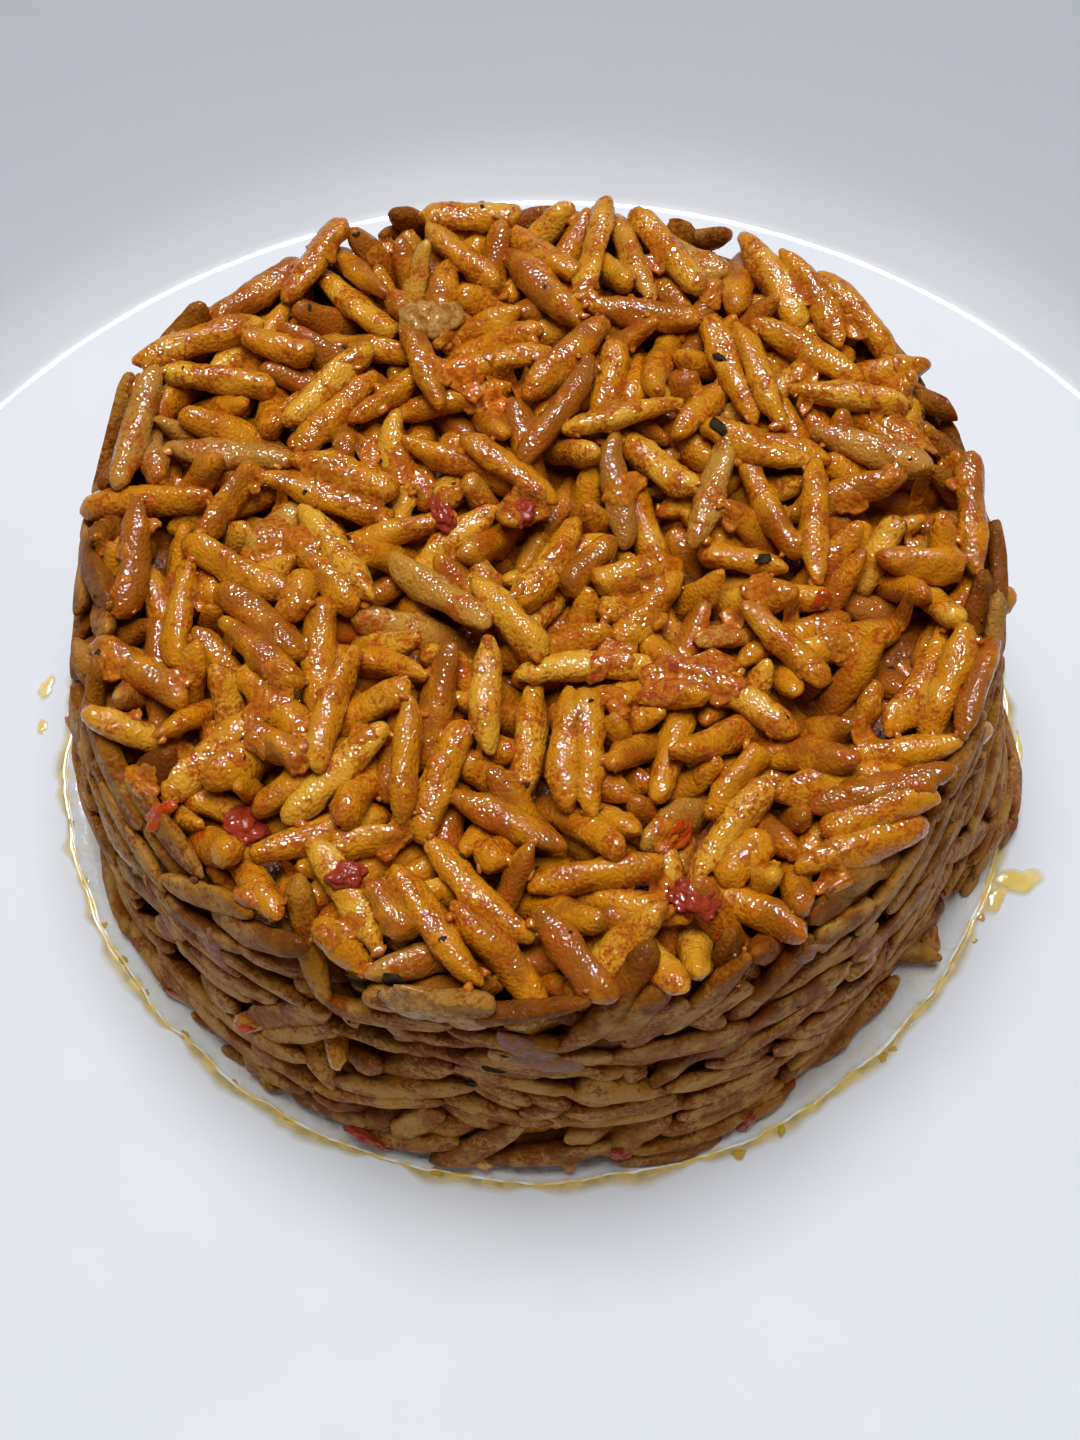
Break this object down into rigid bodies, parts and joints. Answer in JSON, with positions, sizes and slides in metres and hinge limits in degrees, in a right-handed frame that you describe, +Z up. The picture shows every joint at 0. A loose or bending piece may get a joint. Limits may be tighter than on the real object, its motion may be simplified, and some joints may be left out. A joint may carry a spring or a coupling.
{
  "type": "jollof rice",
  "caption": "Moulded drum of jollof rice standing just behind the middle of a deep white plate.",
  "frame": {"origin": "on the surface that the plate stands on, under the middle of the plate", "axes": "+Z up along the plate's axis of revolution; the drum of rice stands 9 mm towards +Y from the plate's middle, so -Y is the diner's side"},
  "size_m": [0.2216, 0.2216, 0.0421],
  "materials": {
    "glaze": "glossy bluish-white porcelain glaze",
    "rice": "food: oily cooked grains, golden tan to orange-brown, with tomato paste between them",
    "tomato": "food: glossy cooked tomato and pepper, paste and skins",
    "oil": "food: thin clear yellow oil",
    "herb": "food: dark dried herb and pepper flakes",
    "onion": "food: soft translucent cooked onion"
  },
  "bodies": {
    "root": {"plate": "glaze", "rice_mound": "rice"}
  },
  "joints": []
}
